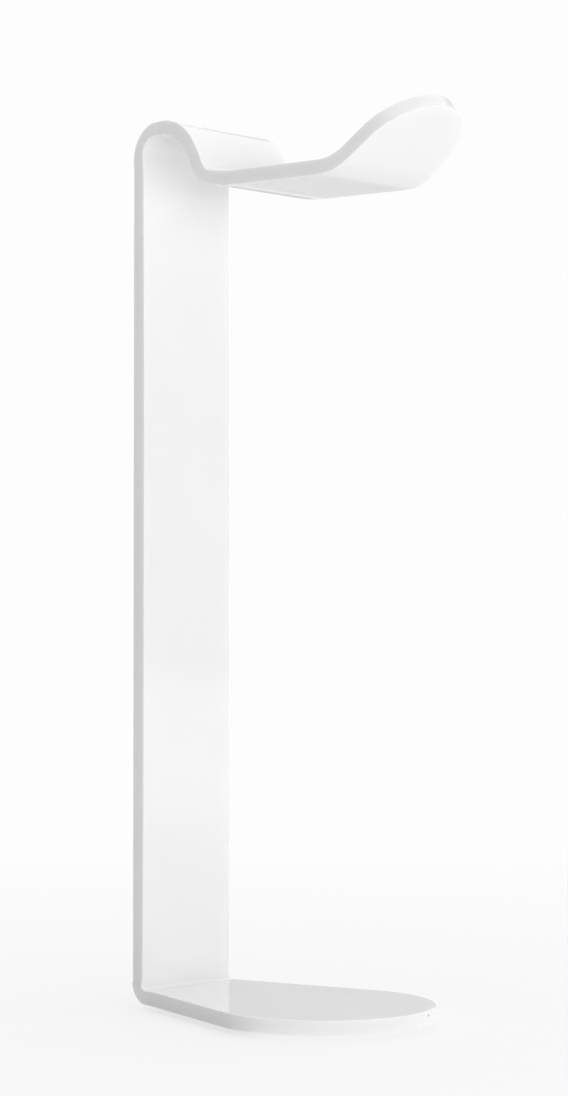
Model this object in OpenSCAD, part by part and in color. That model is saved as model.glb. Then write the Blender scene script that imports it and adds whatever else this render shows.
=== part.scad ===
// Headphone stand bent from one flat strip of acrylic sheet, standing on four stick-on bumper feet.
// Millimetres. +Z up, +X from the column towards the tip of the base, Y = 0 is the mirror plane.
// The origin lies on the table under the middle of the stand.

/* [Sheet] */
// thickness of the acrylic sheet
sheet_t = 4; // [3:0.5:6]
// width of the strip along the column
strip_w = 33; // [28:1:44]
// height of the top of the hump above the table
overall_h = 245; // [200:5:320]

/* [Base] */
// radius of the round end of the base
base_r = 30; // [26:1:40]
// distance from the back face of the column to the centre of the round end
base_reach = 57.5; // [50:0.5:80]
// inside radius of the bend between base and column
base_bend_r = 2; // [1:0.5:6]

/* [Hump] */
// inside radius of the bend at the top of the column
hump_back_r = 5.5; // [4:0.5:9]
// length of the flat crest between the two bends of the hump
hump_flat = 2.2; // [1:0.1:6]
// inside radius of the bend from the crest down to the web
hump_front_r = 12; // [8:0.5:16]
// slope of the web below horizontal
web_angle = 60; // [50:1:70]
// length of the straight web
web_len = 5.5; // [3:0.5:10]

/* [Cradle] */
// inside radius of the bend at the foot of the web
valley_r = 7; // [4:0.5:12]
// slope below horizontal where the tight valley bend ends
ease_angle = 12; // [8:1:20]
// radius of the gentle curve that follows the valley bend
ease_r = 53; // [30:1:80]
// slope of the straight cradle below horizontal
cradle_drop = 2; // [0:0.5:6]
// length of the straight cradle
cradle_len = 30.7; // [24:0.1:50]
// width of the cradle
cradle_w = 34.6; // [33:0.2:44]

/* [Lip] */
// inside radius of the bend between cradle and lip
lip_bend_r = 14; // [8:0.5:20]
// slope of the lip above horizontal
lip_angle = 34; // [20:1:60]
// length of the lip from its bend to its tip
lip_len = 22.9; // [19:0.1:40]
// radius of the round end of the lip
lip_r = 16; // [14:0.5:17]
// how far behind the start of the lip its sides begin to taper
lip_taper_lead = 8; // [2:0.5:9]

/* [Feet] */
// diameter of a bumper foot
foot_d = 8; // [6:0.5:10]
// height of a foot with its adhesive
foot_h = 1.5; // [1:0.1:3]
// thickness of the adhesive disc
pad_t = 0.25; // [0.15:0.05:0.4]
// diameter of the adhesive disc
pad_d = 7.2; // [5:0.2:8]
// distance of the rear feet from the back face of the column
rear_foot_x = 15; // [12:0.5:25]
// distance of the rear feet from the mirror plane
rear_foot_y = 8; // [7:0.5:10]
// distance of the front feet from the centre of the round end
front_foot_ring = 16; // [10:0.5:18]
// angle of the front feet from the mirror plane
front_foot_angle = 50; // [30:5:80]

/* [Hidden] */
$fn = 160;

// centre line of the strip, section by section, from the back face of the column at x = 0
half_t = sheet_t / 2;
rad = PI / 180;
base_mid_r = base_bend_r + half_t;
back_mid_r = hump_back_r + half_t;
front_mid_r = hump_front_r + half_t;
valley_mid_r = valley_r + half_t;
lip_mid_r = lip_bend_r + half_t;
base_z = foot_h + half_t;
flare_x = base_bend_r + sheet_t;
column_z0 = foot_h + sheet_t + base_bend_r;
column_z1 = overall_h - sheet_t - hump_back_r;
crest_z = overall_h - half_t;
crest_x0 = half_t + back_mid_r;
crest_x1 = crest_x0 + hump_flat;
web_x0 = crest_x1 + front_mid_r * sin(web_angle);
web_z0 = crest_z - front_mid_r * (1 - cos(web_angle));
web_x1 = web_x0 + web_len * cos(web_angle);
web_z1 = web_z0 - web_len * sin(web_angle);
valley_cx = web_x1 + valley_mid_r * sin(web_angle);
valley_cz = web_z1 + valley_mid_r * cos(web_angle);
ease_x0 = valley_cx - valley_mid_r * sin(ease_angle);
ease_z0 = valley_cz - valley_mid_r * cos(ease_angle);
ease_cx = ease_x0 + ease_r * sin(ease_angle);
ease_cz = ease_z0 + ease_r * cos(ease_angle);
cradle_x0 = ease_cx - ease_r * sin(cradle_drop);
cradle_z0 = ease_cz - ease_r * cos(cradle_drop);
cradle_x1 = cradle_x0 + cradle_len * cos(cradle_drop);
cradle_z1 = cradle_z0 - cradle_len * sin(cradle_drop);
lip_cx = cradle_x1 + lip_mid_r * sin(cradle_drop);
lip_cz = cradle_z1 + lip_mid_r * cos(cradle_drop);
lip_x0 = lip_cx + lip_mid_r * sin(lip_angle);
lip_z0 = lip_cz - lip_mid_r * cos(lip_angle);
lip_disc = lip_len - lip_r;

// the lip reaches further forward than the base, so it sets the length of the stand
tip_x = lip_x0 + lip_len * cos(lip_angle) + half_t * sin(lip_angle);
shift_x = -tip_x / 2;

// the straight sides run this far inside the round ends, so that they cross them cleanly
side_bite = 0.02;

// angle between the mirror plane and a side that starts h from it, gap behind a round end
function side_angle(gap, h, r) = asin((r - side_bite) / norm([gap, h])) - atan2(h, gap);

// the bends are drawn in steps of this many degrees
bend_step = 3;

// reach of the trimming prisms past the strip
trim = 20;

// height at which the plan of the base gives way to the plan of the cradle
split_z = overall_h / 2;

// colours
sheet_white = [0.93, 0.93, 0.93];
foot_clear = [0.80, 0.81, 0.82];
pad_white = [0.88, 0.87, 0.83];

// arc about x, z, angles measured from +X towards +Z
function arc(x, z, r, from, to) =
    let (steps = ceil(abs(to - from) / bend_step))
    [for (i = [0 : steps])
        let (a = from + (to - from) * i / steps)
        [x + r * cos(a), z + r * sin(a)]];

function reversed(list) = [for (i = [len(list) - 1 : -1 : 0]) list[i]];

// one face of the strip seen from the side: side 1 is the back of the column and the top of
// the cradle, side -1 is the face that looks at the headphones
function face(side) =
    let (d = side * half_t)
    concat([[base_reach + base_r + trim, base_z - d]],
           arc(flare_x, column_z0, base_mid_r + d, 270, 180),
           arc(crest_x0, column_z1, back_mid_r + d, 180, 90),
           arc(crest_x1, crest_z - front_mid_r, front_mid_r + d, 90, 90 - web_angle),
           arc(valley_cx, valley_cz, valley_mid_r - d, 270 - web_angle, 270 - ease_angle),
           arc(ease_cx, ease_cz, ease_r - d, 270 - ease_angle, 270 - cradle_drop),
           arc(lip_cx, lip_cz, lip_mid_r - d, 270 - cradle_drop, 270 + lip_angle),
           [[lip_x0 + (lip_len + trim) * cos(lip_angle) - d * sin(lip_angle),
             lip_z0 + (lip_len + trim) * sin(lip_angle) + d * cos(lip_angle)]]);

// the bent strip seen from the side, as wide as the widest place
module wide_strip() {
    rotate([90, 0, 0])
    linear_extrude(2 * base_r + trim, center = true)
    polygon(concat(face(1), reversed(face(-1))));
}

// round end of radius r centred at cx; its sides pass x0 at a half width h and reach back
// to x_end, where they are end_h from the mirror plane
module paddle(x_end, end_h, x0, h, cx, r) {
    angle = side_angle(cx - x0, h, r);
    touch_x = cx - (r - side_bite) * sin(angle);
    touch_y = (r - side_bite) * cos(angle);
    translate([cx, 0])
    circle(r = r);
    polygon([[x_end, -end_h], [x0, -h], [touch_x, -touch_y], [cx, 0],
             [touch_x, touch_y], [x0, h], [x_end, end_h]]);
}

module base_outline() {
    linear_extrude(split_z)
    paddle(-trim, strip_w / 2, flare_x, strip_w / 2, base_reach, base_r);
}

// plan of column, hump and cradle: column width at the back, wider from the foot of the web on
module upper_outline() {
    front_x = base_reach + 2 * base_r;
    translate([0, 0, split_z])
    linear_extrude(overall_h)
    polygon([[-trim, -strip_w / 2], [sheet_t, -strip_w / 2], [web_x1, -cradle_w / 2],
             [front_x, -cradle_w / 2], [front_x, cradle_w / 2], [web_x1, cradle_w / 2],
             [sheet_t, strip_w / 2], [-trim, strip_w / 2]]);
}

// outline of the lip, square to the lip, cut from everything in front of the cradle; its sides
// reach the width of the cradle a little behind the start of the lip
module lip_outline() {
    back = lip_taper_lead + trim;
    half_w = cradle_w / 2;
    back_h = half_w + trim * tan(side_angle(lip_disc + lip_taper_lead, half_w, lip_r));
    translate([lip_x0, 0, lip_z0])
    rotate([0, -lip_angle, 0])
    translate([0, 0, -2 * trim])
    linear_extrude(4 * trim)
    paddle(-back, back_h, -lip_taper_lead, half_w, lip_disc, lip_r);
}

// everything behind the lip
module behind_lip() {
    behind = tip_x + trim;
    translate([lip_x0, 0, lip_z0])
    rotate([0, -lip_angle, 0])
    translate([-lip_taper_lead - 0.5 * trim - 2 * overall_h, -behind, -2 * overall_h])
    cube([2 * overall_h, 2 * behind, 4 * overall_h]);
}

module bent_sheet() {
    color(sheet_white)
    translate([shift_x, 0, 0])
    intersection() {
        wide_strip();
        union() {
            base_outline();
            upper_outline();
        }
        union() {
            behind_lip();
            lip_outline();
        }
    }
}

// bumper: straight rim, then a cap that narrows towards the table
module foot(x, y) {
    rim_h = (foot_h - pad_t) * 0.45;
    cap_h = foot_h - pad_t - rim_h;
    color(foot_clear)
    translate([shift_x + x, y, 0]) {
        cylinder(h = cap_h, d1 = foot_d - 2 * cap_h, d2 = foot_d);
        translate([0, 0, cap_h])
        cylinder(h = rim_h, d = foot_d);
    }
}

module pad(x, y) {
    color(pad_white)
    translate([shift_x + x, y, foot_h - pad_t])
    cylinder(h = pad_t, d = pad_d);
}

front_foot_x = base_reach + front_foot_ring * cos(front_foot_angle);
front_foot_y = front_foot_ring * sin(front_foot_angle);

module foot_front_left() {
    foot(front_foot_x, front_foot_y);
}

module foot_front_right() {
    foot(front_foot_x, -front_foot_y);
}

module foot_rear_left() {
    foot(rear_foot_x, rear_foot_y);
}

module foot_rear_right() {
    foot(rear_foot_x, -rear_foot_y);
}

module pad_front_left() {
    pad(front_foot_x, front_foot_y);
}

module pad_front_right() {
    pad(front_foot_x, -front_foot_y);
}

module pad_rear_left() {
    pad(rear_foot_x, rear_foot_y);
}

module pad_rear_right() {
    pad(rear_foot_x, -rear_foot_y);
}

bent_sheet();
foot_front_left();
foot_front_right();
foot_rear_left();
foot_rear_right();
pad_front_left();
pad_front_right();
pad_rear_left();
pad_rear_right();
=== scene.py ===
import math
from bisect import bisect_right

import bmesh
import bpy
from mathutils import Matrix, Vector


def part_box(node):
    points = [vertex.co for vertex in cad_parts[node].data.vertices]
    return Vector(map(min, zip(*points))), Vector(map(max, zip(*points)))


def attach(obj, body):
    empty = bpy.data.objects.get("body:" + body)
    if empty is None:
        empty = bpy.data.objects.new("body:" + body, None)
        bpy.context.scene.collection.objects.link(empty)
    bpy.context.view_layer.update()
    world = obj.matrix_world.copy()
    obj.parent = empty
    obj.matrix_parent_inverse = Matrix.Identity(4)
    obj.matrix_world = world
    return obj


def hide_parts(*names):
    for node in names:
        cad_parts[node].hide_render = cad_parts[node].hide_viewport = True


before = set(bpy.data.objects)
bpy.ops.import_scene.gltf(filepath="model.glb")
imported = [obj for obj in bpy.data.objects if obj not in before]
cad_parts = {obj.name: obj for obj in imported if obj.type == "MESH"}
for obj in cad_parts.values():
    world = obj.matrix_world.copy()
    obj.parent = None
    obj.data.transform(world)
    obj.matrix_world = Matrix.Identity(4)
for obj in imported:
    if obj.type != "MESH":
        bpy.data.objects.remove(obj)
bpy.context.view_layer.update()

MM = 0.001

# ---------------------------------------------------------------- sizes of the bent sheet
# mm and degrees; bend radii are on the inner side of the sheet
SHEET_T = 4.0
STRIP_W = 33.0         # width of the column
OVERALL_H = 245.0
FOOT_H = 1.5           # height of the bumper feet
BASE_R = 30.0          # round end of the base
BASE_REACH = 57.5      # from the back of the column to the middle of the round end
BASE_BEND_R = 2.0
HUMP_BACK_R = 5.5
HUMP_FLAT = 2.2
HUMP_FRONT_R = 12.0
WEB_ANGLE = 60.0       # slope of the web between the hump and the valley
WEB_LEN = 5.5
VALLEY_R = 7.0
EASE_ANGLE = 12.0      # slow bend between the valley and the cradle
EASE_R = 53.0          # its radius, on the middle of the sheet
CRADLE_DROP = 2.0
CRADLE_LEN = 30.7
CRADLE_W = 34.6
LIP_BEND_R = 14.0
LIP_ANGLE = 34.0
LIP_LEN = 22.9
LIP_R = 16.0           # round end of the lip
LIP_TAPER_LEAD = 8.0   # the lip starts to narrow this far before it is straight
FLARE_BLEND = 1.2      # softening of the corner where the base's sides meet the strip
TAPER_BLEND = 0.3      # softening of the corner where the lip starts to narrow

# what heating and polishing do to the sheet, mm
COLUMN_BOW = 0.45      # the front of the column swells by this much at mid-height
BOW_FADE = 10.0        # distance in front of the column over which the bow fades
BASE_THIN = 0.35       # loss on the inner side of the bend between base and column
HUMP_THIN = 0.6        # loss on the inner side of the back bend of the hump
VALLEY_THIN = 0.45     # loss on the upper side of the valley bend
THIN_SPREAD = 1.5      # the thinning reaches this many half lengths from a bend's middle
SWELL_MAX = 0.28       # the most that a tight bend swells the faces at the cut edges
SWELL_GAIN = 1.1       # in wider bends the swelling is this times the curvature
HEAT_SPREAD = 4.0      # softened zone on each side of a bend
EDGE_R = 0.22          # rounding of the polished edges

# fineness of the mesh
SUPPORT = 0.20         # mm, ring just inside the rounding that keeps the faces flat
EDGE_STEPS = 6
FACE_COLUMNS = 8
BASE_END_STEPS = 56
LIP_END_STEPS = 44
STATION_GAP = 0.35     # mm kept free between a round end and the next point of the side
TIGHT_CURVE = 0.03     # 1/mm, a bend tighter than this counts as a heated bend

HALF_T = SHEET_T / 2
FLARE_X = BASE_BEND_R + SHEET_T
X_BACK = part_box("bent_sheet")[0].x / MM            # back face of the column in the frame


# ---------------------------------------------------------------- middle line of the sheet
def walk_path():
    """Stations along the middle of the sheet from the tip of the base to the tip of the lip:
    (s, x, z, heading, curvature); x is measured from the back face of the column."""
    stations = []
    state = {"s": 0.0, "x": BASE_REACH + BASE_R, "z": FOOT_H + HALF_T, "a": math.pi}

    def put(curvature):
        stations.append((state["s"], state["x"], state["z"], state["a"], curvature))

    def line(length, step):
        n = max(1, round(length / step))
        for _ in range(n):
            state["s"] += length / n
            state["x"] += math.cos(state["a"]) * length / n
            state["z"] += math.sin(state["a"]) * length / n
            put(0.0)

    def arc(radius, turn_deg, step_deg):
        turn = math.radians(turn_deg)
        n = max(2, math.ceil(abs(turn_deg) / step_deg))
        side = math.copysign(1.0, turn)
        cx = state["x"] - side * radius * math.sin(state["a"])
        cz = state["z"] + side * radius * math.cos(state["a"])
        for _ in range(n):
            state["a"] += turn / n
            state["s"] += radius * abs(turn) / n
            state["x"] = cx + side * radius * math.sin(state["a"])
            state["z"] = cz - side * radius * math.cos(state["a"])
            put(side / radius)

    put(0.0)
    line(BASE_REACH + BASE_R - FLARE_X, step=1.0)
    arc(BASE_BEND_R + HALF_T, -90, step_deg=4)
    line(OVERALL_H - SHEET_T - HUMP_BACK_R - state["z"], step=4.0)
    arc(HUMP_BACK_R + HALF_T, -90, step_deg=4)
    line(HUMP_FLAT, step=0.8)
    arc(HUMP_FRONT_R + HALF_T, -WEB_ANGLE, step_deg=3)
    line(WEB_LEN, step=1.2)
    arc(VALLEY_R + HALF_T, WEB_ANGLE - EASE_ANGLE, step_deg=3)
    arc(EASE_R, EASE_ANGLE - CRADLE_DROP, step_deg=1)
    line(CRADLE_LEN, step=2.0)
    arc(LIP_BEND_R + HALF_T, CRADLE_DROP + LIP_ANGLE, step_deg=2)
    line(LIP_LEN, step=1.0)
    return stations


PATH = walk_path()
PATH_S = [station[0] for station in PATH]
S_END = PATH_S[-1]


def at(s):
    """(x, z, heading, curvature) at developed length s, beyond the ends along the tangent."""
    if s <= 0 or s >= S_END:
        _, x, z, a, _ = PATH[0] if s <= 0 else PATH[-1]
        over = s if s <= 0 else s - S_END
        return x + math.cos(a) * over, z + math.sin(a) * over, a, 0.0
    i = bisect_right(PATH_S, s)
    p, q = PATH[i - 1], PATH[i]
    f = (s - p[0]) / (q[0] - p[0])
    x, z, a = (p[j] + (q[j] - p[j]) * f for j in (1, 2, 3))
    return x, z, a, q[4]


def smooth_max(a, b, blend):
    """The larger of a and b, rounded off where they are within blend of each other."""
    d = max(0.0, blend - abs(a - b)) / blend
    return max(a, b) + d * d * blend * 0.25


def smooth_step(t):
    t = min(1.0, max(0.0, t))
    return t * t * (3 - 2 * t)


# ---------------------------------------------------------------- what the heat does
def heated_bends():
    """(middle, half length) along the sheet of each tight bend, from the base up."""
    runs, run = [], []
    for (s, _, _, _, curvature), (_, _, _, _, before) in zip(PATH[1:], PATH):
        if curvature != before and run:
            runs.append(run)
            run = []
        if abs(curvature) > TIGHT_CURVE:
            run.append(s)
    return [((run[0] + run[-1]) / 2, (run[-1] - run[0]) / 2) for run in runs]


BENDS = heated_bends()
BASE_BEND, HUMP_BACK_BEND, _, VALLEY_BEND, _ = BENDS
THINNED = ((BASE_BEND, -1, BASE_THIN), (HUMP_BACK_BEND, -1, HUMP_THIN), (VALLEY_BEND, 1, VALLEY_THIN))


def bend_weight(s):
    """1 on the heated bends, falling to 0 over a few millimetres beside them."""
    return max(smooth_step(1 - (abs(s - middle) - half) / HEAT_SPREAD) for middle, half in BENDS)


def drawn(s, n):
    """Offset n from the middle of the sheet after the heat bends have drawn it thinner."""
    for (middle, half), side, loss in THINNED:
        near = 1 - abs(s - middle) / (half * THIN_SPREAD)
        if near > 0 and n * side > 0:
            n -= side * loss * smooth_step(near) * abs(n) / HALF_T
    return n


def bow(x, z, n):
    """How far the column swells forward: most on its front face, not at all on its back."""
    rise = (z - FOOT_H) / (OVERALL_H - FOOT_H)
    share = smooth_step(4 * rise * (1 - rise)) * smooth_step(1 - (x - SHEET_T) / BOW_FADE)
    return COLUMN_BOW * share * (0.5 - n / SHEET_T)


def swell(n, curvature):
    """How far a bend swells the sheet sideways at its cut edges: most at both faces."""
    return min(SWELL_MAX, SWELL_GAIN * abs(curvature)) * abs(n) / HALF_T


# ---------------------------------------------------------------- outline of the flat sheet
def side_slope(gap, half_width, radius):
    """Angle of the line that touches the round end and meets the strip's corner, which lies
    gap before the middle of the round end and half_width from the centre line."""
    return math.asin(radius / math.hypot(gap, half_width)) - math.atan2(half_width, gap)


def half_outline():
    """(s, half width) from the tip of the base to the tip of the lip."""
    flare_s = BASE_REACH + BASE_R - FLARE_X
    flare_slope = side_slope(BASE_REACH - FLARE_X, STRIP_W / 2, BASE_R)
    taper_slope = side_slope(LIP_LEN - LIP_R + LIP_TAPER_LEAD, CRADLE_W / 2, LIP_R)
    web_end_x = (SHEET_T + HUMP_BACK_R + HUMP_FLAT + WEB_LEN * math.cos(math.radians(WEB_ANGLE))
                 + (HUMP_FRONT_R + HALF_T) * math.sin(math.radians(WEB_ANGLE)))

    points = []
    for i in range(BASE_END_STEPS + 1):
        a = (math.pi / 2 + flare_slope) * i / BASE_END_STEPS
        points.append((BASE_R * (1 - math.cos(a)), BASE_R * math.sin(a)))

    side_start = points[-1][0] + STATION_GAP
    side_end = S_END - LIP_R * (1 + math.sin(taper_slope)) - STATION_GAP
    for s, x, z, _, _ in PATH:
        if not side_start < s <= side_end:
            continue
        if z < OVERALL_H / 2:
            flare = STRIP_W / 2 + (flare_s - s) * math.tan(flare_slope)
            w = smooth_max(flare, STRIP_W / 2, FLARE_BLEND)
        else:
            # the strip widens from the column to the foot of the web, and narrows at the lip
            f = min(1.0, max(0.0, (x - SHEET_T) / (web_end_x - SHEET_T)))
            w = STRIP_W / 2 + f * (CRADLE_W - STRIP_W) / 2
            taper = CRADLE_W / 2 + (lip_distance(x, z) + LIP_TAPER_LEAD) * math.tan(taper_slope)
            w = -smooth_max(-w, -taper, TAPER_BLEND)
        points.append((s, w))

    for i in range(LIP_END_STEPS + 1):
        a = (math.pi / 2 + taper_slope) * (1 - i / LIP_END_STEPS)
        points.append((S_END - LIP_R * (1 - math.cos(a)), LIP_R * math.sin(a)))
    return points


def lip_distance(x, z):
    """Distance of a place beyond the start of the straight part of the lip."""
    _, tip_x, tip_z, a, _ = PATH[-1]
    return LIP_LEN + (x - tip_x) * math.cos(a) + (z - tip_z) * math.sin(a)


def outline_normals(half):
    """Outward normals of the half outline."""
    normals = [(-1.0, 0.0)]
    for (s0, w0), (s1, w1) in zip(half, half[2:]):
        length = math.hypot(s1 - s0, w1 - w0)
        normals.append(((w0 - w1) / length, (s1 - s0) / length))
    return normals + [(1.0, 0.0)]


# ---------------------------------------------------------------- mesh of the bent sheet
def edge_profile():
    """(inset, n, edge) of the rings round the sheet, from one face over the cut edge to the
    other; edge goes from 0 on the faces to 1 on the cut edge."""
    upper = [(EDGE_R + SUPPORT, HALF_T, 0.0), (EDGE_R, HALF_T, 0.0)]
    for i in range(1, EDGE_STEPS + 1):
        a = math.pi / 2 * (1 - i / EDGE_STEPS)
        n = HALF_T - EDGE_R * (1 - math.sin(a))
        upper.append((EDGE_R * (1 - math.cos(a)), n, math.sqrt(math.cos(a))))
    lower = [(inset, -n, edge) for inset, n, edge in reversed(upper)]
    return upper + [(0.0, 0.0, 1.0)] + lower


def sheet_point(s, y, n, edge):
    """Place and attributes of a point of the sheet: s along it, y across it, and n from its
    middle towards the back of the column and the top of the cradle."""
    x, z, a, curvature = at(s)
    off = drawn(s, n)
    y += math.copysign(swell(n, curvature) * edge, y)
    place = (X_BACK + x + bow(x, z, n) - off * math.sin(a), y, z + off * math.cos(a))
    return [c * MM for c in place], [c * MM for c in (s, y, n)], edge, bend_weight(s)


def new_object(name, data):
    obj = bpy.data.objects.new(name, data)
    bpy.context.scene.collection.objects.link(obj)
    return obj


def build_sheet():
    half = half_outline()
    normals = outline_normals(half)
    points, faces = [], []

    def add(s, y, n, edge):
        points.append(sheet_point(s, y, n, edge))
        return len(points) - 1

    def inset_half(inset):
        return [(s - ns * inset, w - nw * inset) for (s, w), (ns, nw) in zip(half, normals)]

    def ring(inset, n, edge):
        """Points on the right side from tip to tip, and between them on the left side."""
        line = inset_half(inset)
        return ([add(s, w, n, edge) for s, w in line],
                [add(s, -w, n, edge) for s, w in line[1:-1]])

    # the rounded edge
    rings = [ring(*step) for step in edge_profile()]
    loops = [right + left[::-1] for right, left in rings]
    for u, v in zip(loops, loops[1:]):
        faces += [(u[i - 1], u[i], v[i], v[i - 1]) for i in range(len(u))]

    # the two faces
    line = inset_half(EDGE_R + SUPPORT)
    for (right, left), n in ((rings[0], HALF_T), (rings[-1], -HALF_T)):
        rows = [[right[0]] * (FACE_COLUMNS + 1)]
        for i, (s, w) in enumerate(line[1:-1], 1):
            across = [w * (2 * c / FACE_COLUMNS - 1) for c in range(1, FACE_COLUMNS)]
            rows.append([left[i - 1]] + [add(s, y, n, 0.0) for y in across] + [right[i]])
        rows.append([right[-1]] * (FACE_COLUMNS + 1))
        for p, q in zip(rows, rows[1:]):
            for c in range(FACE_COLUMNS):
                # at the tips two corners fall together and leave a triangle
                faces.append(tuple(dict.fromkeys((p[c], p[c + 1], q[c + 1], q[c]))))

    places, dev, edge, bend = zip(*points)
    mesh = bpy.data.meshes.new("sheet_body")
    mesh.from_pydata(places, [], faces)
    mesh.validate()
    shell = bmesh.new()
    shell.from_mesh(mesh)
    bmesh.ops.recalc_face_normals(shell, faces=shell.faces)
    shell.to_mesh(mesh)
    shell.free()
    flat = mesh.attributes.new("dev", "FLOAT_VECTOR", "POINT")
    flat.data.foreach_set("vector", [c for v in dev for c in v])
    for name, values in (("edge", edge), ("bend", bend)):
        mesh.attributes.new(name, "FLOAT", "POINT").data.foreach_set("value", values)
    mesh.shade_smooth()
    return new_object("sheet_body", mesh)


sheet = build_sheet()


# ---------------------------------------------------------------- node helpers
def new_material(name):
    mat = bpy.data.materials.new(name)
    mat.use_nodes = True
    tree = mat.node_tree
    tree.nodes.clear()
    out = tree.nodes.new("ShaderNodeOutputMaterial")
    bsdf = tree.nodes.new("ShaderNodeBsdfPrincipled")
    tree.links.new(bsdf.outputs[0], out.inputs[0])
    return mat, tree, bsdf


def object_place(tree):
    return tree.nodes.new("ShaderNodeTexCoord").outputs["Object"]


def attribute(tree, name, output):
    n = tree.nodes.new("ShaderNodeAttribute")
    n.attribute_name = name
    return n.outputs[output]


def stretch(tree, vec, factors):
    n = tree.nodes.new("ShaderNodeVectorMath")
    n.operation = "MULTIPLY"
    n.inputs[1].default_value = factors
    tree.links.new(vec, n.inputs[0])
    return n.outputs[0]


def noise(tree, vec, scale, detail):
    """Noise from 0 to 1 with about scale patterns per metre."""
    n = tree.nodes.new("ShaderNodeTexNoise")
    n.inputs["Scale"].default_value = scale
    n.inputs["Detail"].default_value = detail
    n.inputs["Roughness"].default_value = 0.5
    tree.links.new(vec, n.inputs["Vector"])
    return n.outputs["Fac"]


def ramp(tree, value, lo, hi, out_lo=0.0, out_hi=1.0):
    n = tree.nodes.new("ShaderNodeMapRange")
    n.clamp = True
    for key, v in zip(("From Min", "From Max", "To Min", "To Max"), (lo, hi, out_lo, out_hi)):
        n.inputs[key].default_value = v
    tree.links.new(value, n.inputs["Value"])
    return n.outputs["Result"]


def calc(tree, op, a, b):
    n = tree.nodes.new("ShaderNodeMath")
    n.operation = op
    for i, v in enumerate((a, b)):
        if isinstance(v, (int, float)):
            n.inputs[i].default_value = v
        else:
            tree.links.new(v, n.inputs[i])
    return n.outputs[0]


def mix(tree, factor, a, b):
    """Colour a where the factor is 0 and colour b where it is 1."""
    n = tree.nodes.new("ShaderNodeMix")
    n.data_type = "RGBA"
    tree.links.new(factor, n.inputs["Factor"])
    for key, colour in (("A", a), ("B", b)):
        if isinstance(colour, tuple):
            n.inputs[key].default_value = (*colour, 1)
        else:
            tree.links.new(colour, n.inputs[key])
    return n.outputs["Result"]


def bump(tree, height, distance, normal=None):
    n = tree.nodes.new("ShaderNodeBump")
    n.inputs["Strength"].default_value = 1.0
    n.inputs["Distance"].default_value = distance
    tree.links.new(height, n.inputs["Height"])
    if normal is not None:
        tree.links.new(normal, n.inputs["Normal"])
    return n.outputs["Normal"]


def spot(tree, place, radius, softness):
    """1 within the radius of a place on the object, falling to 0 just outside it."""
    away = tree.nodes.new("ShaderNodeVectorMath")
    away.operation = "DISTANCE"
    away.inputs[1].default_value = place
    tree.links.new(object_place(tree), away.inputs[0])
    return ramp(tree, away.outputs["Value"], radius * (1 - softness), radius * (1 + softness), 1.0, 0.0)


# ---------------------------------------------------------------- acrylic of the sheet
SHEET_DARK, SHEET_LIGHT = (0.835, 0.836, 0.838), (0.875, 0.876, 0.878)
# cut edges painted greyer: partly the greyer look of cut opal sheet, partly painted shade for the edges
# turned away from the light
EDGE_GREY_AND_SHADE_COLOUR, EDGE_GREY_AND_SHADE_SHARE = (0.790, 0.792, 0.796), 0.8
# a pinhole in the rim of the base, near its tip
SPECK_COLOUR = (0.10, 0.10, 0.10)
SPECK_R = 0.30
SPECK_ANGLE = math.radians(21)
SPECK_HEIGHT = 0.69 * SHEET_T
SPECK_PLACE = ((X_BACK + BASE_REACH + BASE_R * math.cos(SPECK_ANGLE)) * MM,
               BASE_R * math.sin(SPECK_ANGLE) * MM, (FOOT_H + SPECK_HEIGHT) * MM)
LIGHT_SPREAD = 2.2     # mm that light travels inside the opal sheet


def acrylic_colour(tree, dev, edge):
    cloud = noise(tree, dev, scale=38, detail=3)
    colour = mix(tree, cloud, SHEET_DARK, SHEET_LIGHT)
    # the cut edges greyer: partly their own grey, partly painted shade
    colour = mix(tree, calc(tree, "MULTIPLY", edge, EDGE_GREY_AND_SHADE_SHARE), colour, EDGE_GREY_AND_SHADE_COLOUR)
    speck = spot(tree, SPECK_PLACE, SPECK_R * MM, softness=0.3)
    return mix(tree, speck, colour, SPECK_COLOUR)


def acrylic_roughness(tree, dev, edge, bend):
    """Gloss with faint haze, slightly duller in hairlines, on cut edges and in heated bends."""
    along = noise(tree, stretch(tree, dev, (60, 2600, 900)), scale=1, detail=2)
    across = noise(tree, stretch(tree, dev, (2100, 90, 900)), scale=1, detail=2)
    hair = calc(tree, "MAXIMUM", ramp(tree, along, 0.70, 0.80), ramp(tree, across, 0.72, 0.82))
    haze = noise(tree, dev, scale=55, detail=4)
    rough = ramp(tree, haze, 0.3, 0.7, out_lo=0.045, out_hi=0.085)
    for where, amount in ((hair, 0.10), (edge, 0.07), (bend, 0.03)):
        rough = calc(tree, "ADD", rough, calc(tree, "MULTIPLY", where, amount))
    return rough


def acrylic_relief(tree, dev, edge, bend):
    """Waves and orange peel of cast sheet, ripples in heated bends, cutter lines on edges."""
    def centred(value):
        return calc(tree, "SUBTRACT", value, 0.5)

    normal = bump(tree, noise(tree, dev, scale=55, detail=1), distance=4.0e-6)
    normal = bump(tree, noise(tree, dev, scale=620, detail=2), distance=2.5e-7, normal=normal)
    ripple = centred(noise(tree, stretch(tree, dev, (1, 0.5, 1)), scale=260, detail=2))
    normal = bump(tree, calc(tree, "MULTIPLY", bend, ripple), distance=6.0e-6, normal=normal)
    lines = centred(noise(tree, stretch(tree, dev, (1, 1, 0.06)), scale=2400, detail=1))
    return bump(tree, calc(tree, "MULTIPLY", edge, lines), distance=1.5e-6, normal=normal)


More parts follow.
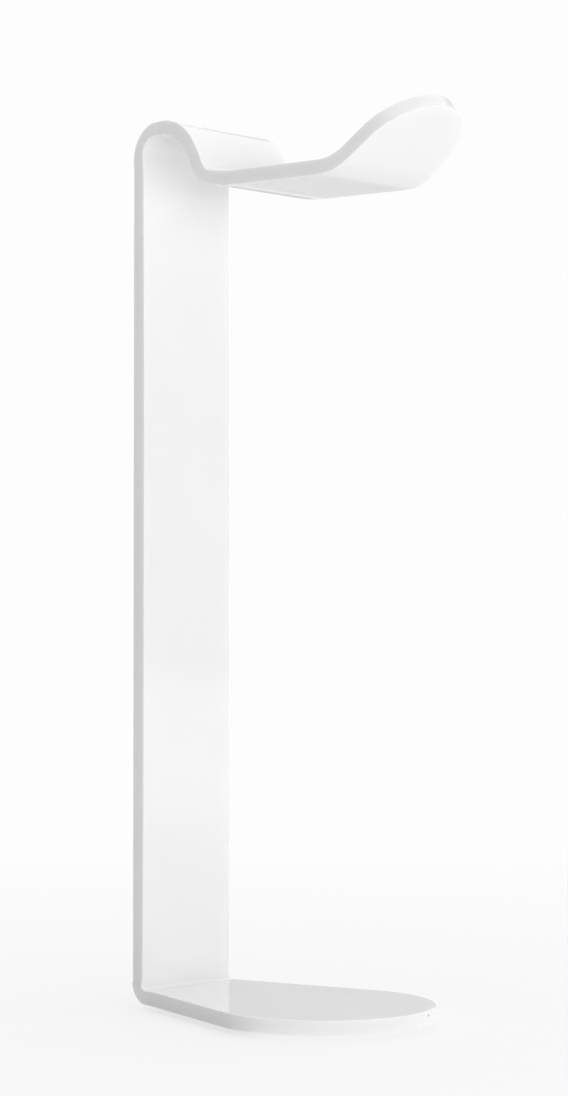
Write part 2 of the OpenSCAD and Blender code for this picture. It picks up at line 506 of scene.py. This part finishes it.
def acrylic():
    mat, tree, bsdf = new_material("white_acrylic")
    dev = attribute(tree, "dev", "Vector")       # place on the flat sheet
    edge = attribute(tree, "edge", "Fac")
    bend = attribute(tree, "bend", "Fac")
    tree.links.new(acrylic_colour(tree, dev, edge), bsdf.inputs["Base Color"])
    tree.links.new(acrylic_roughness(tree, dev, edge, bend), bsdf.inputs["Roughness"])
    tree.links.new(acrylic_relief(tree, dev, edge, bend), bsdf.inputs["Normal"])
    bsdf.inputs["IOR"].default_value = 1.49
    bsdf.inputs["Subsurface Weight"].default_value = 0.55
    bsdf.inputs["Subsurface Radius"].default_value = (1.0, 1.0, 1.0)
    bsdf.inputs["Subsurface Scale"].default_value = LIGHT_SPREAD * MM
    return mat


sheet.data.materials.append(acrylic())
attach(sheet, "root")
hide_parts("bent_sheet")


# ---------------------------------------------------------------- feet and their adhesive discs
FOOT_CORNER = 0.75 * MM      # width of the foot's rounded lower corner
FOOT_CORNER_RISE = 0.55      # and its height, as a share of the foot's
FOOT_RIM_R = 0.12 * MM       # rounding of its upper rim
PAD_RIM_R = 0.06 * MM        # rounding of the adhesive disc
LATHE_SEGMENTS = 64


def lathe(name, profile, centre):
    """Solid of revolution about a vertical axis; profile is (radius, height) from the lower
    point on the axis to the upper one."""
    verts, faces, rows = [], [], []
    for r, z in profile:
        n = LATHE_SEGMENTS if r else 1
        turns = [2 * math.pi * i / n for i in range(n)]
        rows.append([len(verts) + i for i in range(n)] * (LATHE_SEGMENTS // n))
        verts += [(centre[0] + r * math.cos(a), centre[1] + r * math.sin(a), z) for a in turns]
    for low, high in zip(rows, rows[1:]):
        for i in range(LATHE_SEGMENTS):
            # on the axis two corners fall together and leave a triangle
            faces.append(tuple(dict.fromkeys((low[i - 1], low[i], high[i], high[i - 1]))))
    mesh = bpy.data.meshes.new(name)
    mesh.from_pydata(verts, [], faces)
    mesh.shade_smooth()
    return new_object(name, mesh)


def arc_points(cx, cz, r, start, end, n):
    """n + 1 points of an arc about (cx, cz), between two angles in degrees."""
    angles = [math.radians(start + (end - start) * i / n) for i in range(n + 1)]
    return [(cx + r * math.cos(a), cz + r * math.sin(a)) for a in angles]


# the profiles' points inside a flat are rings that keep it flat where it is shaded smooth
def foot_profile(r, h):
    flat = r - FOOT_CORNER
    profile = [(0, 0), (flat * 0.5, 0), (flat * 0.93, 0)]
    for t in [math.pi / 2 * i / 8 for i in range(1, 9)]:
        profile.append((flat + FOOT_CORNER * math.sin(t) ** 0.8, h * FOOT_CORNER_RISE * (1 - math.cos(t))))
    profile.append((r, h * 0.75))
    profile += arc_points(r - FOOT_RIM_R, h - FOOT_RIM_R, FOOT_RIM_R, 0, 90, 4)
    return profile + [(r * 0.9, h), (r * 0.5, h), (0, h)]


def pad_profile(r, bottom, top):
    rim = r - PAD_RIM_R
    profile = [(0, bottom), (r * 0.5, bottom), (rim, bottom)]
    profile += arc_points(rim, bottom + PAD_RIM_R, PAD_RIM_R, -60, 0, 2)
    profile.append((r, top - PAD_RIM_R))
    profile += arc_points(rim, top - PAD_RIM_R, PAD_RIM_R, 30, 90, 2)
    return profile + [(r * 0.5, top), (0, top)]


def bumper_material():
    """Clear soft bumper, cloudy inside, with a finely pitted surface."""
    mat, tree, bsdf = new_material("clear_bumper")
    place = object_place(tree)
    cloud = noise(tree, place, scale=900, detail=3)
    colour = mix(tree, cloud, (0.62, 0.63, 0.64), (0.76, 0.77, 0.78))
    rough = ramp(tree, noise(tree, place, scale=2500, detail=3), 0.3, 0.7, out_lo=0.18, out_hi=0.34)
    pits = bump(tree, noise(tree, place, scale=4200, detail=2), distance=4e-6)
    tree.links.new(colour, bsdf.inputs["Base Color"])
    tree.links.new(rough, bsdf.inputs["Roughness"])
    tree.links.new(pits, bsdf.inputs["Normal"])
    bsdf.inputs["IOR"].default_value = 1.49
    bsdf.inputs["Transmission Weight"].default_value = 0.35
    return mat


def adhesive_material():
    """Yellowish adhesive film with uneven spots."""
    mat, tree, bsdf = new_material("adhesive_film")
    place = object_place(tree)
    spots = ramp(tree, noise(tree, place, scale=1600, detail=4), 0.35, 0.65)
    colour = mix(tree, spots, (0.66, 0.64, 0.58), (0.80, 0.78, 0.72))
    rough = ramp(tree, noise(tree, place, scale=3000, detail=2), 0.3, 0.7, out_lo=0.35, out_hi=0.6)
    lumps = bump(tree, noise(tree, place, scale=2600, detail=3), distance=8e-6)
    tree.links.new(colour, bsdf.inputs["Base Color"])
    tree.links.new(rough, bsdf.inputs["Roughness"])
    tree.links.new(lumps, bsdf.inputs["Normal"])
    return mat


rubber, glue = bumper_material(), adhesive_material()
for corner in ("front_left", "front_right", "rear_left", "rear_right"):
    lo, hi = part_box("foot_" + corner)
    centre = ((lo.x + hi.x) / 2, (lo.y + hi.y) / 2)
    foot = lathe("bumper_" + corner, foot_profile((hi.x - lo.x) / 2, hi.z), centre)
    foot.data.materials.append(rubber)
    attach(foot, "root")
    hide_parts("foot_" + corner)

    lo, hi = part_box("pad_" + corner)
    disc = lathe("adhesive_" + corner, pad_profile((hi.x - lo.x) / 2, lo.z, hi.z), centre)
    disc.data.materials.append(glue)
    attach(disc, "root")
    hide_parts("pad_" + corner)


# ---------------------------------------------------------------- stage, in metres
BACKDROP = 0.985              # brightness of the evenly lit sweep
TABLE_R = 0.55                # the lit table; further out the sweep is only seen by the camera
TABLE_GLOW_R = (0.05, 0.97 * TABLE_R)     # radii between which the table turns into the sweep
# a pool of light is painted into the bounce table's glow in front of the object
SPILL_R = (0.07, 0.13)        # radii between which the light in front of the object fades
SPILL_X = (-0.006, 0.014)     # forward places between which that light sets in
FLOOR_R = 4.0                 # the floor that lights the object from below
FLOOR_FADE_R = 1.8            # it fades from the table's rim to here
FLOOR_NEAR, FLOOR_FAR = 0.95, 0.72
# the front softbox's light on the floor is painted into its glow
FLOOR_LIT_X, FLOOR_LIT = 0.7, 0.5    # the front light adds this much, in full from there on
SWEEP_R = 14.0                # the sweep and the dome that only the camera sees
DOME_R = 15.0
BOUNCE_DROP = 0.5 * MM        # the discs that light the object lie just below the visible table
SKY = 0.215                   # even light from all round
CIRCLE_POINTS = 96


def glow_shader(tree, strength):
    glow = tree.nodes.new("ShaderNodeEmission")
    glow.inputs["Color"].default_value = (1, 1, 1, 1)
    glow.inputs["Strength"].default_value = strength
    return glow


def centre_distance(tree, place):
    length = tree.nodes.new("ShaderNodeVectorMath")
    length.operation = "LENGTH"
    tree.links.new(place, length.inputs[0])
    return length.outputs["Value"]


def forward(tree, place):
    split = tree.nodes.new("ShaderNodeSeparateXYZ")
    tree.links.new(place, split.inputs[0])
    return split.outputs["X"]


def output_of(tree):
    return [n for n in tree.nodes if n.type == "OUTPUT_MATERIAL"][0]


def table_material(name, dark, light, middle_glow, front_glow):
    """Matt white light table that turns into the evenly lit sweep towards its rim. middle_glow
    is the share of its brightness that comes from below at the middle, and front_glow the
    share close in front of the object."""
    mat, tree, bsdf = new_material(name)
    place = object_place(tree)
    grain = noise(tree, place, scale=25, detail=3)
    tree.links.new(mix(tree, grain, (dark,) * 3, (light,) * 3), bsdf.inputs["Base Color"])
    bsdf.inputs["Roughness"].default_value = 0.6
    bsdf.inputs["Specular IOR Level"].default_value = 0.2
    away = centre_distance(tree, place)
    share = ramp(tree, away, *TABLE_GLOW_R, out_lo=middle_glow, out_hi=1.0)
    # painted pool of light close in front of the object
    spill = calc(tree, "MULTIPLY", ramp(tree, forward(tree, place), *SPILL_X),
                 ramp(tree, away, *SPILL_R, out_lo=front_glow, out_hi=0.0))
    both = tree.nodes.new("ShaderNodeMixShader")
    tree.links.new(calc(tree, "MAXIMUM", share, spill), both.inputs[0])
    tree.links.new(bsdf.outputs[0], both.inputs[1])
    tree.links.new(glow_shader(tree, BACKDROP).outputs[0], both.inputs[2])
    tree.links.new(both.outputs[0], output_of(tree).inputs[0])
    return mat


def glow_material(name, strength):
    mat, tree, bsdf = new_material(name)
    tree.nodes.remove(bsdf)
    glow = glow_shader(tree, strength)
    tree.links.new(glow.outputs[0], output_of(tree).inputs[0])
    return mat, tree, glow


def bounce_floor_material():
    """Glowing floor round the table: its glow fades with distance, and on its front side painted light
    stands in for the front softbox's.
    """
    mat, tree, glow = glow_material("bounce_floor", 1.0)
    place = object_place(tree)
    away = centre_distance(tree, place)
    fade = ramp(tree, away, TABLE_R, FLOOR_FADE_R, out_lo=FLOOR_NEAR, out_hi=FLOOR_FAR)
    front = ramp(tree, forward(tree, place), 0.0, FLOOR_LIT_X, out_lo=0.0, out_hi=FLOOR_LIT)
    tree.links.new(calc(tree, "ADD", fade, front), glow.inputs["Strength"])
    return mat


def circle(radius):
    angles = [2 * math.pi * i / CIRCLE_POINTS for i in range(CIRCLE_POINTS)]
    return [(radius * math.cos(a), radius * math.sin(a), 0.0) for a in angles]


def disc_mesh(radius):
    mesh = bpy.data.meshes.new("disc")
    mesh.from_pydata(circle(radius), [], [tuple(range(CIRCLE_POINTS))])
    return mesh


def ring_mesh(inner, outer):
    mesh = bpy.data.meshes.new("ring")
    pairs = [(i, (i + 1) % CIRCLE_POINTS) for i in range(CIRCLE_POINTS)]
    faces = [(i, CIRCLE_POINTS + i, CIRCLE_POINTS + j, j) for i, j in pairs]
    mesh.from_pydata(circle(inner) + circle(outer), [], faces)
    return mesh


def dome_mesh(radius):
    mesh = bpy.data.meshes.new("dome")
    shell = bmesh.new()
    bmesh.ops.create_uvsphere(shell, u_segments=48, v_segments=24, radius=radius)
    shell.to_mesh(mesh)
    shell.free()
    return mesh


def seen_piece(name, mesh, material):
    """Stage piece that only the camera sees."""
    mesh.materials.append(material)
    obj = new_object(name, mesh)
    obj.visible_diffuse = False
    obj.visible_glossy = False
    obj.visible_transmission = False
    obj.visible_shadow = False
    return obj


def bounce_piece(name, mesh, material):
    """Stage piece that only lights the object."""
    mesh.materials.append(material)
    obj = new_object(name, mesh)
    obj.location.z = -BOUNCE_DROP
    obj.visible_camera = False
    return obj


# the camera sees a bright table in front of an even sweep, and the object is lit from below by
# the same table, dimmer, and by the floor round it
pale_table = table_material("pale_table", dark=0.88, light=0.90, middle_glow=0.66, front_glow=0.0)
dim_table = table_material("bounce_table", dark=0.60, light=0.62, middle_glow=0.30, front_glow=1.0)
pale_sweep = glow_material("pale_sweep", BACKDROP)[0]
seen_piece("table", disc_mesh(TABLE_R), pale_table)
bounce_piece("bounce_table", disc_mesh(TABLE_R), dim_table)
bounce_piece("bounce_floor", ring_mesh(TABLE_R, FLOOR_R), bounce_floor_material())
seen_piece("sweep", ring_mesh(TABLE_R, SWEEP_R), pale_sweep)
seen_piece("backdrop", dome_mesh(DOME_R), pale_sweep)

world = bpy.data.worlds.new("studio")
bpy.context.scene.world = world
world.use_nodes = True
sky = world.node_tree.nodes["Background"]
sky.inputs["Color"].default_value = (1, 1, 1, 1)
sky.inputs["Strength"].default_value = SKY


def soft_light(name, location, target, width, height, radiance):
    """Evenly bright rectangle; radiance is what a mirror would show of it."""
    data = bpy.data.lights.new(name, "AREA")
    data.shape = "RECTANGLE"
    data.size, data.size_y = width, height
    data.energy = radiance * math.pi * width * height
    obj = new_object(name, data)
    obj.location = location
    obj.rotation_euler = (Vector(target) - Vector(location)).to_track_quat("-Z", "Y").to_euler()
    obj.visible_camera = False


# name, place, what it faces, width, height, radiance
for light in (("top_softbox", (0.0, 0.0, 1.5), (0, 0, 0.1), 3.0, 3.0, 1.03),
              ("front_softbox", (1.24, -0.42, 0.16), (0, 0, 0.12), 1.5, 0.6, 3.2),
              ("side_softbox", (0.40, 1.13, 0.22), (0, 0, 0.18), 0.8, 0.7, 2.9),
              ("low_back_card", (-1.2, 1.2, 0.23), (0, 0, 0.23), 2.6, 0.34, 0.40),
              ("high_back_card", (-1.2, 1.2, 0.83), (0, 0, 0.83), 2.6, 0.86, 0.85)):
    soft_light(*light)

# ---------------------------------------------------------------- camera
CAMERA_PLACE = (0.4991, -0.5032, 0.1074)
CAMERA_AZIMUTH = 44.77        # degrees from the object's front towards -Y
CAMERA_PITCH = 1.56           # degrees above level
CAMERA_SENSOR, CAMERA_LENS = 36.0, 86.72      # mm
camera_data = bpy.data.cameras.new("camera")
camera_data.sensor_width = CAMERA_SENSOR
camera_data.lens = CAMERA_LENS
camera = new_object("camera", camera_data)
camera.location = CAMERA_PLACE
camera.rotation_euler = (math.radians(90 + CAMERA_PITCH), 0, math.radians(90 - CAMERA_AZIMUTH))
bpy.context.scene.camera = camera
bpy.context.scene.view_settings.view_transform = "Standard"
